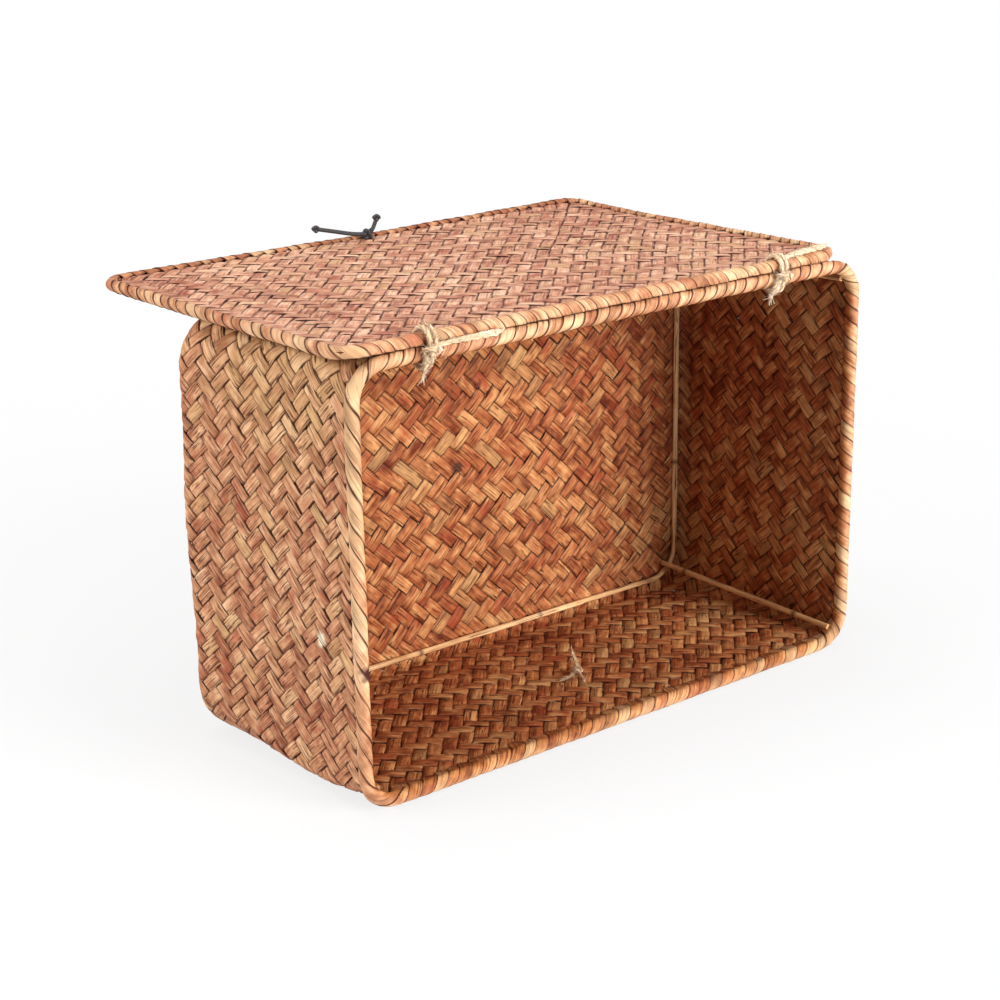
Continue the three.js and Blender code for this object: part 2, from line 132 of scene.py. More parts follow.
valueNames = ("along", "across", "seed", "tone", "hue", "shade", "inner")


def startMesh():
    return {"points": [], "quads": [], "caps": [], "values": {name: [] for name in valueNames}, "count": 0}


def addTube(mesh, grid, **values):
    rows, sides = grid.shape[:2]
    spread = {name: np.broadcast_to(values.get(name, 0.0), (rows, sides)) for name in valueNames}
    row = (rows - 1) // 2
    face = np.cross(grid[row, 1] - grid[row, 0], grid[row + 1, 1] - grid[row, 1])
    outward = (grid[row, 0] + grid[row, 1]) / 2 - grid[row].mean(axis=0)
    if face @ outward < 0:
        grid = grid[:, ::-1]
        spread = {name: value[:, ::-1] for name, value in spread.items()}
    index = mesh["count"] + np.arange(rows * sides).reshape(rows, sides)
    beside = np.roll(index, -1, axis=1)
    quads = np.stack([index[:-1], beside[:-1], beside[1:], index[1:]], axis=-1)
    mesh["points"].append(grid.reshape(-1, 3))
    mesh["quads"].append(quads.reshape(-1, 4))
    mesh["caps"] += [index[0, ::-1].tolist(), index[-1].tolist()]
    for name, value in spread.items():
        mesh["values"][name].append(value.ravel())
    mesh["count"] += rows * sides


def finishMesh(name, mesh, material, body, replaced, sharpAngle=50):
    data = bpy.data.meshes.new(name)
    points = np.concatenate(mesh["points"]) * mm
    faces = np.concatenate(mesh["quads"]).tolist() + mesh["caps"]
    data.from_pydata(points.tolist(), [], faces)
    for valueName, parts in mesh["values"].items():
        attribute = data.attributes.new(valueName, "FLOAT", "POINT")
        attribute.data.foreach_set("value", np.concatenate(parts).astype(np.float32))
    data.polygons.foreach_set("use_smooth", np.ones(len(data.polygons), dtype=bool))
    data.set_sharp_from_angle(angle=math.radians(sharpAngle))
    data.materials.append(material)
    data.update()
    piece = addObject(name, data)
    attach(piece, body)
    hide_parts(*replaced)
    print("made", name, "with", len(data.polygons), "faces")
    return piece


def runningLength(points):
    return np.concatenate([[0], np.cumsum(np.linalg.norm(np.diff(points, axis=0), axis=1))])


def smoothPath(points, step, cuts=12):
    # a smooth line through the points, cut into equal steps
    points = np.array(points, float)
    padded = np.vstack([2 * points[0] - points[1], points, 2 * points[-1] - points[-2]])
    share = np.linspace(0, 1, cuts, endpoint=False)[:, None]
    line = []
    for k in range(1, len(padded) - 2):
        a, b, c, d = padded[k - 1:k + 3]
        line.append(b + share * (c - a) / 2 + share**2 * (a - 2.5 * b + 2 * c - d / 2)
                    + share**3 * (1.5 * (b - c) + (d - a) / 2))
    line = np.vstack([*line, points[-1:]])
    lengths = runningLength(line)
    places = np.linspace(0, lengths[-1], max(3, round(lengths[-1] / step) + 1))
    return np.stack([np.interp(places, lengths, line[:, axis]) for axis in range(3)], axis=1), places


def directions(path):
    # two directions square to the path at each point, carried along it without twisting, and its own
    forward = np.gradient(path, axis=0)
    forward /= np.linalg.norm(forward, axis=1)[:, None]
    side = np.cross(forward[0], (0.3, 0.2, 1))  # any direction that no path starts in
    sides = []
    for direction in forward:
        side = side - direction * (side @ direction)
        side = side / np.linalg.norm(side)
        sides.append(side)
    sides = np.array(sides)
    return sides, np.cross(forward, sides), forward


def addRound(mesh, path, radius, sideCount, along, **values):
    right, up, _ = directions(path)
    angle = np.arange(sideCount) * fullTurn / sideCount
    radius = np.broadcast_to(radius, len(path))[:, None, None]
    spokes = right[:, None] * np.cos(angle)[:, None] + up[:, None] * np.sin(angle)[:, None]
    addTube(mesh, path[:, None] + radius * spokes, along=along[:, None], across=(angle / math.pi - 1)[None],
            **values)


def trefoil(centre, radii, share=1, up=(0, 0, 1)):
    # a small overhand knot's line, open at its ends, fitted into a share of the given half sizes
    across = (1, 0, 0)
    radii = np.array(radii) * share
    turn = np.linspace(0.35, fullTurn + 0.1, 26)
    x = np.sin(turn) + 2 * np.sin(2 * turn)
    y = np.cos(turn) - 2 * np.cos(2 * turn)
    z = -np.sin(3 * turn)
    third = np.cross(up, across)
    return (np.array(centre) + np.outer(x / 3 * radii[0], across)
            + np.outer(y / 3 * radii[2], up) + np.outer(z * radii[1], third))


# Node materials

def nodeTools(tree):
    def make(kind, inputs=None, **settings):
        node = tree.nodes.new(kind)
        for key, value in settings.items():
            setattr(node, key, value)
        for key, value in (inputs or {}).items():
            if isinstance(value, bpy.types.NodeSocket):
                tree.links.new(value, node.inputs[key])
            else:
                node.inputs[key].default_value = value
        return node

    def calc(operation, first, second=0, limited=False):
        node = make("ShaderNodeMath", {0: first, 1: second}, operation=operation, use_clamp=limited)
        return node.outputs[0]

    def mixed(share, first, second):
        return make("ShaderNodeMix", {0: share, 6: first, 7: second}, data_type="RGBA").outputs[2]

    def ramp(value, stops):
        node = make("ShaderNodeValToRGB", {0: value})
        elements = node.color_ramp.elements
        while len(elements) < len(stops):
            elements.new(0.5)
        for element, (place, shade) in zip(elements, stops):
            element.position = place
            element.color = shade if isinstance(shade, tuple) else (shade, shade, shade, 1)
        return node.outputs[0]

    return make, calc, mixed, ramp


def newMaterial(name):
    material = bpy.data.materials.new(name)
    material.use_nodes = True
    tree = material.node_tree
    return material, tree.nodes["Principled BSDF"], *nodeTools(tree)


def finishShader(material, shader, make, colour, height, look):
    links = material.node_tree.links
    links.new(colour, shader.inputs["Base Color"])
    bump = make("ShaderNodeBump", {"Strength": look["bump"], "Distance": look["bumpDepth"], "Height": height})
    links.new(bump.outputs[0], shader.inputs["Normal"])
    shader.inputs["Roughness"].default_value = look["roughness"]
    shader.inputs["Specular IOR Level"].default_value = look["gloss"]
    return material


def plantFinish(name, look):
    # dried grass, cane or jute: a tone for each length that shows, with fibres and fine grooves along it
    material, shader, make, calc, mixed, ramp = newMaterial(name)
    value = {key: make("ShaderNodeAttribute", attribute_name=key).outputs["Fac"] for key in valueNames}
    here = make("ShaderNodeTexCoord").outputs["Object"]

    def fibres(acrossScale, alongScale, seedScale, detail=1):
        place = make("ShaderNodeCombineXYZ", {
            0: calc("MULTIPLY", value["across"], acrossScale),
            1: calc("MULTIPLY", value["along"], alongScale),
            2: calc("MULTIPLY", value["seed"], seedScale),
        }).outputs[0]
        noise = make("ShaderNodeTexNoise", {"Vector": place, "Scale": 1, "Detail": detail, "Roughness": 0.6})
        return noise.outputs[0]

    def clouds(scale, detail):
        return make("ShaderNodeTexNoise", {"Vector": here, "Scale": scale, "Detail": detail}).outputs[0]

    def swing(noise, share):
        return calc("MULTIPLY", calc("SUBTRACT", noise, 0.5), share)

    # the seed scales only keep the patterns apart
    fine = fibres(look["lines"], look["lineStretch"], 31, detail=3)
    broad = fibres(look["lines"] * 0.4, look["lineStretch"] * 1.5, 57)
    patch = clouds(look["patchScale"], 3)
    spot = clouds(look["spotScale"], 2)
    area = clouds(look["areaScale"], 1)
    tone = value["tone"]
    for noise, share in ((fine, "fineShare"), (broad, "broadShare"), (spot, "spotShare")):
        tone = calc("ADD", tone, swing(noise, look[share]))
    tone = calc("ADD", tone, swing(area, look["areaShare"]), limited=True)
    hue = calc("ADD", value["hue"], swing(area, look["hueShare"]), limited=True)
    redness = calc("MULTIPLY", ramp(hue, look["redStops"]), ramp(patch, look["blotchStops"]))
    layers = [(redness, look["red"]), (ramp(hue, look["strawStops"]), look["straw"])]
    for place, reach, strength, markColour in look["marks"]:
        away = make("ShaderNodeVectorMath", {0: here, 1: place}, operation="DISTANCE").outputs["Value"]
        away = calc("ADD", calc("DIVIDE", away, reach), swing(spot, look["markFray"]))
        layers.append((ramp(away, [(0.5, strength), (1, 0)]), markColour))

    groove = calc("ABSOLUTE", swing(fibres(look["grooves"], look["lineStretch"] * 0.5, 83), 1))
    worn = ramp(fibres(look["grooves"] * 0.5, look["lineStretch"] * 3, 19), look["wornStops"])
    groove = calc("MULTIPLY", ramp(groove, look["grooveStops"]), worn)
    # painted shade: strips and bands darken towards their edges, in broken lines, and where they dive under
    # others or end; on cane the same colour darkens the joints
    edge = ramp(calc("ABSOLUTE", value["across"]), look["edgeShadeStops"])
    breaks = ramp(fibres(0.5, look["edgeShadeBreaks"], 11), look["edgeShadeBreakStops"])
    layers += [(groove, look["split"]), (calc("MULTIPLY", edge, breaks), look["seam"]),
               (ramp(value["shade"], look["shadeStops"]), look["seam"])]
    # inner faces take darker, redder tones: painted shade and bounce light inside the box
    colour = mixed(value["inner"], ramp(tone, look["outside"]), ramp(tone, look["inside"]))
    for share, coat in layers:
        colour = mixed(share, colour, coat)
    height = calc("SUBTRACT", calc("ADD", fine, broad), groove)
    return finishShader(material, shader, make, colour, height, look)


seagrassLook = {
    "outside": tones((138, 76, 50), (194, 136, 98), (230, 184, 142)),
    # darker, redder tones for the inner faces: painted shade and bounce light inside the box
    "inside": tones((108, 44, 20), (172, 101, 58), (212, 155, 100)),
    "red": paint(156, 64, 38), "redStops": [(0, 0.8), (0.35, 0.45), (0.55, 0)],
    "blotchStops": [(0.44, 0), (0.66, 1)],
    "straw": paint(206, 168, 112), "strawStops": [(0.66, 0), (1, 0.45)],
    # seam is the colour of that painted shade, and of the cane's darker joints
    "split": paint(92, 36, 18), "seam": paint(66, 20, 10),
    "lines": 3.2, "lineStretch": 0.035, "fineShare": 0.9, "broadShare": 0.6,
    "patchScale": 110, "spotScale": 130, "spotShare": 1.1,
    "areaScale": 9, "areaShare": 0.4, "hueShare": 0.7,
    "grooves": 3.2, "grooveStops": [(0, 1), (0.016, 0.7), (0.034, 0)],
    "wornStops": [(0.42, 0), (0.5, 1)],
    # painted shade along the strips' edges, broken up along their length
    "edgeShadeStops": [(0.84, 0), (0.93, 0.9), (1, 1)],
    "edgeShadeBreaks": 0.16, "edgeShadeBreakStops": [(0.4, 0.3), (0.6, 1)],
    "shadeStops": [(0.25, 0), (0.65, 0.5), (0.95, 0.97)],
    "markFray": 1.5,
    "marks": [  # place and reach in metres, strength and colour
        # stains, and pale patches
        ((0, 0.029, 0.116), 0.0045, 0.85, paint(72, 44, 36)),
        ((0.016, 0.029, 0.164), 0.004, 0.85, paint(96, 34, 20)),
        ((-0.172, -0.08, 0.088), 0.005, 0.85, paint(244, 234, 206)),
        ((-0.18, -0.05, 0.235), 0.07, 0.25, paint(204, 174, 112)),
    ],
    "bump": 1, "bumpDepth": 0.0005,  # metres
    "roughness": 0.6, "gloss": 0.18,
}
lidTones = tones((150, 90, 68), (210, 152, 122), (240, 196, 164))
lidLook = {
    **seagrassLook,
    "outside": lidTones, "inside": lidTones, "marks": [],
    "fineShare": 1.3, "grooveStops": [(0, 0.5), (0.02, 0.25), (0.04, 0)],
    "strawStops": [(0.65, 0), (1, 0.4)],
    # painted shade along the lid strips' edges
    "edgeShadeStops": [(0.76, 0), (0.9, 1)], "edgeShadeBreakStops": [(0.4, 0.3), (0.56, 1)],
}
bindingLook = {
    **seagrassLook,
    "outside": tones((156, 100, 68), (204, 150, 110), (234, 192, 150)),
    # darker, redder tones for the bands' inner side: painted shade and bounce light inside the box
    "inside": tones((112, 50, 22), (180, 112, 62), (222, 164, 108)),
    "red": paint(166, 88, 62), "straw": paint(218, 188, 144), "strawStops": [(0.7, 0), (1, 0.6)],
    # a dark patch on the rim's inner edge, where the base rod meets it
    "marks": [((-0.1692, -0.1162, 0.0792), 0.006, 1, paint(58, 24, 26)),
               ((-0.172, -0.116, 0.19), 0.05, 0.35, paint(222, 196, 148))],
    # painted shade along the bands' edges
    "fineShare": 0.9, "lines": 3.4, "grooves": 2.6, "edgeShadeStops": [(0.76, 0), (0.88, 0.9), (1, 1)],
    "grooveStops": [(0, 0.5), (0.02, 0.25), (0.04, 0)], "edgeShadeBreakStops": [(0.3, 0.7), (0.5, 1)],
    "shadeStops": [(0, 0), (0.5, 0.35), (1, 0.95)],
}
plainLook = {  # no painted shade along the edges
    **seagrassLook,
    "fineShare": 1, "edgeShadeStops": [(0.99, 0), (1, 0)], "hueShare": 0, "spotShare": 0.4,
}
caneTones = tones((164, 112, 68), (222, 174, 122), (244, 210, 162))
caneLook = {
    **plainLook,
    "outside": caneTones, "inside": caneTones, "lines": 3, "lineStretch": 0.02,
    "shadeStops": [(0.1, 0), (1, 0.85)], "bump": 0.4, "roughness": 0.45,
}
juteTones = tones((206, 162, 120), (240, 208, 170), (255, 238, 212))
juteLook = {
    **plainLook,
    "outside": juteTones, "inside": juteTones, "lines": 5, "lineStretch": 0.35,
    "red": paint(214, 176, 134), "straw": paint(236, 218, 180),
    # seam is the colour of the painted shade
    "split": paint(184, 144, 104), "seam": paint(150, 110, 72),
    "shadeStops": [(0.1, 0), (1, 0.7)], "bump": 0.8, "roughness": 0.9, "gloss": 0.15,
}

cordLook = {
    # darker between the strands, lighter on their crowns
    "braidTones": [(0.4, paint(24, 22, 24)), (1, paint(58, 54, 56))],
    "strands": 3, "braidPitch": 2.2,
    "bump": 0.6, "bumpDepth": 0.0003, "roughness": 0.6, "gloss": 0.5,
}


def cordFinish(look):
    # a fine black braid: two crossing sets of strands
    material, shader, make, calc, _, ramp = newMaterial("blackCord")
    along, across = [make("ShaderNodeAttribute", attribute_name=key).outputs["Fac"] for key in valueNames[:2]]
    turns = calc("MULTIPLY", along, fullTurn / look["braidPitch"])
    strands = [calc("SINE", calc("ADD", turns, calc("MULTIPLY", across, way * math.pi)))
               for way in (look["strands"], -look["strands"])]
    braid = calc("MAXIMUM", *strands)
    return finishShader(material, shader, make, ramp(braid, look["braidTones"]), braid, look)


blackCord = cordFinish(cordLook)

# The lid's own frame: its middle, and how it slopes down from the hinge to its front edge

lidForm = {
    "beadRadius": 3.75, "cornerRadius": 12.25,  # of the bead's centre line
    "liftLeft": 0.5, "liftRight": 1.8,  # of the front corners, past where the lid leaves the box
}
lidLow, lidHigh = nodeBox("lid_wrapping")
hingeLine = jointPlace("lid_turn")
rimLine = jointPlace("tie_swing")
shellLow, shellHigh = nodeBox("body_shell")
lidBead = lidForm["beadRadius"]
lidRun = np.array([hingeLine[0], lidHigh[1] - lidBead, lidLow[2] + lidBead]) - hingeLine
lidWidth = np.linalg.norm(lidRun)
lidForward = lidRun / lidWidth
lidUp = np.cross((1, 0, 0), lidForward)
lidHalf = np.array([(lidHigh[0] - lidLow[0]) / 2 - lidBead, lidWidth / 2])
lidMiddle = hingeLine + lidRun / 2


def lidPlace(points, bent=True):
    # from the lid's own frame, past the box's edge bent up a little at both ends
    points = np.asarray(points, float)
    support = shellHigh[1] - lidMiddle[1]
    past = np.clip((points[..., 1] - support) / (lidHalf[1] - support), 0, None) ** 2
    share = points[..., 0] / lidHalf[0]
    lift = np.where(share < 0, -share * lidForm["liftLeft"], share * lidForm["liftRight"])
    rise = points[..., 2] + bent * past * lift
    return (lidMiddle + points[..., :1] * (1, 0, 0) + points[..., 1:2] * lidForward
            + rise[..., None] * lidUp)


# Black cord through the lid's front edge: a loop on the outer face, a knot with two ends on the inner one

cordForm = {
    "radius": 1.25, "sides": 12, "loopStep": 1, "knotStep": 0.6, "gap": 0.3,
    "loopDrop": 75, "loopWidth": 17, "bendSteps": 8, "legSpacing": 4.4,
    "legShares": ((1, 0), (1, 0.04), (1.02, 0.12), (1.15, 0.25), (1.5, 0.42), (2.1, 0.6)),  # apart, down
    "inset": 7.4,  # from the bead's centre line to the cord
    "knotRadii": (3.6, 3.0, 2.4),
    "knotLine": 0.75,  # how far out in the knot the cord's middle runs
    "legLean": 0.8,
    "tails": (  # reach and rise, then the course in shares of them
        (37.5, 8.0, ((0, 0), (-0.3, 0.2), (-0.65, 0.6), (-1, 1))),
        (6.5, 9.0, ((0, 0), (0.45, 0.25), (0.75, 0.6), (1, 1))),
    ),
    "endKnot": 1.2,
}
loopLow, loopHigh = nodeBox("closure_loop")
cordMiddle = np.array([(loopLow[0] + loopHigh[0]) / 2 - lidMiddle[0], lidHalf[1] - cordForm["inset"], 0])


def loopRoute(form):
    top = -matHalf - form["gap"]
    half = form["legSpacing"] / 2
    bendRadius = form["loopWidth"] / 2
    straight = form["loopDrop"] - bendRadius
    down = [(-half * out, top - straight * share) for out, share in form["legShares"]]
    bend = []
    for step in range(form["bendSteps"] + 1):
        angle = math.pi + math.pi * step / form["bendSteps"]
        bend.append((bendRadius * math.cos(angle), top - straight + bendRadius * math.sin(angle)))
    up = [(-x, z) for x, z in reversed(down)]
    return [cordMiddle + (x, 0, z) for x, z in down + bend + up]


def makeCordLoop(form):
    mesh = startMesh()
    path, places = smoothPath(lidPlace(loopRoute(form), bent=False), form["loopStep"])
    addRound(mesh, path, form["radius"], form["sides"], places)
    piece = finishMesh("cord_loop", mesh, blackCord, "lid", ["closure_loop"])
    length = float(runningLength(path)[-1])
    print("cord loop length in mm:", round(length, 1))


def makeCordKnot(form):
    mesh = startMesh()
    centre = cordMiddle + (0, 0, matHalf + form["gap"] + form["knotRadii"][2])
    routes = [trefoil(centre, form["knotRadii"], form["knotLine"], up=(0, 1, 0))]
    for reach, rise, shares in form["tails"]:
        tail = [centre + (x * reach, 0, z * rise) for x, z in shares]
        routes += [tail, trefoil(tail[-1], [form["endKnot"]] * 3)]
    for side in (-1, 1):
        foot = cordMiddle + (side * form["legSpacing"] / 2, 0, -matHalf)
        routes.append([foot, foot + (0, 0, matHalf), centre + (side * form["legLean"], 0, 0)])
    for route in routes:
        path, places = smoothPath(lidPlace(route), form["knotStep"])
        addRound(mesh, path, form["radius"], form["sides"], places)
    finishMesh("cord_knot", mesh, blackCord, "lid", ["closure_knot"])


makeCordLoop(cordForm)
makeCordKnot(cordForm)

# The plaited mat. Strips run both ways at 45 degrees to the box's sides, and a place on the mat is given
# in strip widths by u and v. The floor is longStrips by shortStrips crossings, the walls go on from it.

bodyForm = {
    "longStrips": 33, "shortStrips": 22, "wallRows": 26.1, "wallPitch": 7.6,
    "beadRadius": 4.5, "rimCorner": 17.5, "floorCorner": 28.5, "foldRadius": 6.5, "straightDepth": 10,
    "cornerPinch": 12,  # how much sharper the corners get between the rim and the floor
    "pinchLean": 0.6,  # below 1 they are sharpest nearer the rim
    "unevenness": 0.5,
    "waves": (0.045, 0.03, 0.07, -0.05),  # radians per mm: along x and z, then along y and z
}
rimLow, rimHigh = nodeBox("rim_wrapping")
mouthY = rimLow[1]
boxMiddleX, _, boxMiddleZ = (rimLow + rimHigh) / 2
floorSlide = (shellLow[0] + shellHigh[0]) / 2 - boxMiddleX  # the floor has slid sideways
boxDepth = shellHigh[1] - mouthY
rimHalf = (rimHigh - rimLow)[[0, 2]] / 2 - bodyForm["beadRadius"]
floorHalf = (shellHigh - shellLow)[[0, 2]] / 2 - matHalf
rimHoop = (*rimHalf, bodyForm["rimCorner"])
floorHoop = (*floorHalf, bodyForm["floorCorner"])
foldStart = boxDepth - matHalf - bodyForm["foldRadius"]


def boxPlace(across, up, depth):
    return np.stack([across + boxMiddleX, depth + mouthY, up + boxMiddleZ], axis=-1)


def depthShare(depth):
    return np.clip((depth - bodyForm["straightDepth"]) / (foldStart - bodyForm["straightDepth"]), 0, 1)


def flareAt(depth):
    # how much of the flare, and of the floor's slide, is reached at a depth below the rim
    return depthShare(depth) ** 2


def pinchAt(depth):
    return bodyForm["cornerPinch"] * np.sin(math.pi * depthShare(depth) ** bodyForm["pinchLean"])


def wallAt(depth):
    # half length, half width and corner radius of the mat's middle surface
    return [near + (far - near) * flareAt(depth) for near, far in zip(rimHoop, floorHoop)]


def onOutline(halfX, halfY, radius, onLong, share, x, y):
    # a place on a rounded rectangle, share -1 to 1 along its long or short side, and its outward direction
    straight = np.where(onLong, halfX, halfY) - radius
    travelled = np.abs(share) * (straight + radius * math.pi / 4)
    angle = np.clip(travelled - straight, 0, None) / np.maximum(radius, 1e-6)
    end = np.sign(share)
    way = np.sign(np.where(onLong, y, x))
    across = end * (np.minimum(travelled, straight) + radius * np.sin(angle))
    out = way * (np.where(onLong, halfY, halfX) - radius + radius * np.cos(angle))
    leanAcross, leanOut = end * np.sin(angle), way * np.cos(angle)
    pairs = ((across, out), (out, across), (leanAcross, leanOut), (leanOut, leanAcross))
    return [np.where(onLong, first, second) for first, second in pairs]


halfLong = bodyForm["longStrips"] / root2  # of the floor, in strip widths
halfShort = bodyForm["shortStrips"] / root2


def bodySurface(u, v):
    x = (u + v) / root2
    y = (u - v) / root2
    pastX = np.abs(x) - halfLong
    pastY = np.abs(y) - halfShort
    over = np.maximum(pastX, pastY)
    onLong = pastY >= pastX
    roundCorner = (pastX > 0) & (pastY > 0)
    lateral = np.where(onLong, x, y)
    lateral = np.where(roundCorner & onLong, np.sign(y) * (halfShort - pastX), lateral)
    lateral = np.where(roundCorner & ~onLong, np.sign(x) * (halfLong - pastY), lateral)
    side = np.where(roundCorner, ~onLong, onLong)
    half = np.where(side, halfLong, halfShort) + np.minimum(over, 0)
    share = np.clip(lateral / np.maximum(half, 1e-6), -1, 1)

    fold = bodyForm["foldRadius"]
    arc = fold * math.pi / 4
    floorPitch = (floorHalf[1] - fold + arc) / halfShort
    run = np.where(over > 0, over * bodyForm["wallPitch"], -over * floorPitch)
    bend = math.pi / 4 * (1 + np.where(over > 0, -1, 1) * np.minimum(run / arc, 1))
    beyond = np.maximum(run - arc, 0)
    wallDepth = foldStart - beyond
    wall = wallAt(wallDepth)
    wall[2] = wall[2] - pinchAt(wallDepth)
    bent = fold * np.cos(bend)
    inset = np.where(over > 0, 0, beyond)
    onWall = (over > 0) & (run > arc)
    hoop = [np.where(onWall, size, full - fold + bent - inset) for size, full in zip(wall, floorHoop)]
    hoop[2] = np.maximum(hoop[2], 0)
    depth = np.where(onWall, wallDepth, foldStart + fold * np.sin(bend))

    boxX, boxY, outX, outY = onOutline(*hoop, side, share, x, y)
    normal = np.stack([outX * np.cos(bend), np.sin(bend), outY * np.cos(bend)], axis=-1)
    place = boxPlace(boxX + floorSlide * flareAt(depth), boxY, depth)
    first, second, third, fourth = bodyForm["waves"]
    waves = np.sin(place[..., 0] * first + place[..., 2] * second)
    waves = waves + np.sin(place[..., 1] * third + boxY * fourth)
    return place + normal * (waves * bodyForm["unevenness"])[..., None], normal


def lidSurface(u, v):
    x = (u + v) / root2
    y = (u - v) / root2
    inset = np.minimum(halfLong - np.abs(x), halfShort - np.abs(y))
    onLong = halfShort - np.abs(y) <= halfLong - np.abs(x)
    half = np.where(onLong, halfLong, halfShort) - inset
    share = np.clip(np.where(onLong, x, y) / np.maximum(half, 1e-6), -1, 1)
    away = inset * lidHalf[1] / halfShort
    radius = np.maximum(lidForm["cornerRadius"] - away, 0)
    flatX, flatY, _, _ = onOutline(*[half - away for half in lidHalf], radius, onLong, share, x, y)
    place = lidPlace(np.stack([flatX, flatY, np.zeros_like(flatX)], axis=-1))
    return place, np.broadcast_to(lidUp, place.shape)


weave = {
    "halfWidth": 0.512,  # in strip widths
    "halfThickness": 0.46,
    "section": ((-1, 0.1), (-0.86, 0.85), (0, 1), (0.86, 0.85), (1, -0.1), (0.86, -0.85), (0, -1),
                (-0.86, -0.85)),
    "rise": 0.95,  # of a strip's middle where it passes over another
    "lidRelief": 0.8, "lidRows": -0.15,
    "bends": (0.2, 0.38, 0.5),  # of a strip's course, in strip widths from a crossing's middle
    "staying": (1.03, 1.07, 1.1),  # its height there where it stays up or down
    "diving": (0.94, 0.66, 0),
    "drift": 0.07,  # of whole rows, in strip widths
    "driftWaves": (  # size, radians per strip along u and along v, start; for u, then for v
        ((0.55, 0.31, 0.19, 1.3), (0.45, -0.27, 0.83, 2.1)),
        ((0.55, 0.23, -0.37, 0.4), (0.45, 0.71, 0.33, 4.2)),
    ),
    "tilt": 0.2, "crease": 0.1, "widthSpread": 0.012,
    "toneSpread": (0.05, 0.07),  # from strip to strip, and along one
    "hueRange": (0.25, 0.75), "hueSpread": 0.16,
}
seams = [way * (bodyForm["longStrips"] + other * bodyForm["shortStrips"]) / 2
         for way in (-1, 1) for other in (-1, 1)]


def drifted(u, v):
    # rows wander a little together, so that no gap opens between them
    ways = [sum(size * np.sin(alongU * u + alongV * v + start) for size, alongU, alongV, start in waves)
            for waves in weave["driftWaves"]]
    return u + weave["drift"] * ways[0], v + weave["drift"] * ways[1]


def passesOver(u, v, risesRight):
    # rings of two rows lean one way and the next two the other, round the walls and in from the floor's edge
    longRow = np.abs(u + v) - bodyForm["longStrips"]
    shortRow = np.abs(u - v) - bodyForm["shortStrips"]
    leansOut = (shortRow >= longRow) == risesRight
    row = np.maximum(longRow, shortRow)
    return np.where(leansOut == (np.mod(row, 4) < 2), 1, -1)


def layStrip(mesh, surface, line, low, high, risesRight, relief, rng):
    first, last = round(low), round(high)
    cells = np.arange(first - 1, last + 2)
    state = passesOver(*((line, cells) if risesRight else (cells, line)), risesRight)
    floats = np.concatenate([[0], np.cumsum(state[1:] != state[:-1])])
    count = int(floats[-1]) + 1
    stripTone = rng.normal(0.5, weave["toneSpread"][0])
    stripHue = rng.uniform(*weave["hueRange"])
    floatTone = np.clip(stripTone + rng.normal(0, weave["toneSpread"][1], count), 0, 1)
    floatHue = np.clip(stripHue + rng.normal(0, weave["hueSpread"], count), 0, 1)
    floatTilt = rng.normal(0, weave["tilt"], count)
    floatWidth = 1 + rng.normal(0, weave["widthSpread"], count)
    creases = rng.normal(0, weave["crease"], len(weave["section"]))

    near, far, _ = weave["bends"]
    places = np.add.outer(np.arange(first, last + 1), (-0.5, -far, -near, near, far)).ravel()
    places = np.concatenate([[low], places[(places > low + 0.1) & (places < high - 0.1)], [high]])
    cell = np.clip(np.floor(places + 0.5).astype(int), first, last)
    offset = places - cell
    k = cell - (first - 1)
    which = floats[k]
    own = state[k]
    alike = state[k + np.where(offset < 0, -1, 1)] == own
    staying, diving = [np.interp(np.abs(offset), weave["bends"], weave[key]) for key in ("staying", "diving")]
    level = np.where(alike, staying, diving) * own

    section = np.array(weave["section"], float)
    width = weave["halfWidth"] * floatWidth[which]
    lateral = line + width[:, None] * section[:, 0]
    lengthwise = np.broadcast_to(places[:, None], lateral.shape)
    u, v = drifted(lateral, lengthwise) if risesRight else drifted(lengthwise, lateral)
    # a strip keeps to its own side of the lines along which the walls meet
    below = max((seam for seam in seams if seam < line), default=-1e3)
    above = min((seam for seam in seams if seam > line), default=1e3)
    held = np.clip(u if risesRight else v, below + 0.002, above - 0.002)
    place, normal = surface(held, v) if risesRight else surface(u, held)
    height = weave["rise"] * level[:, None] + weave["halfThickness"] * section[:, 1]
    height = height + (floatTilt[which] * np.abs(level))[:, None] * section[:, 0]
    height = height + creases * np.sign(section[:, 1]) * (np.abs(section[:, 0]) < 0.5)
    grid = place + normal * (relief * height)[..., None]
    addTube(mesh, grid, along=(places * bodyForm["wallPitch"])[:, None], across=section[None, :, 0],
            seed=rng.random(), tone=floatTone[which][:, None], hue=floatHue[which][:, None],
            shade=np.clip(1 - np.abs(level), 0, 1)[:, None],
            # the strip's inner face takes the painted shade of the box's inside
            inner=np.clip(0.5 - section[None, :, 1] * 5, 0, 1))


def plait(name, surface, rows, relief, material, body, node, halves, seed):
    # rows are those outside the floor; halves split each way's strips into two pieces
    rng = np.random.default_rng(seed)
    long = bodyForm["longStrips"] + rows
    short = bodyForm["shortStrips"] + rows
    reach = (bodyForm["longStrips"] + bodyForm["shortStrips"] - 1) // 2
    for risesRight in (True, False):
        for half in halves:
            mesh = startMesh()
            for line in range(-reach, reach + 1):
                if half and (line < 0) != (half < 0):
                    continue
                low = max(line - short, -line - long)
                high = min(line + short, long - line)
                if high - low > 1:
                    layStrip(mesh, surface, line, low, high, risesRight, relief, rng)
            label = f"{name}_strips_{'right' if risesRight else 'left'}{('', '_b', '_a')[half]}"
            finishMesh(label, mesh, material, body, [node])


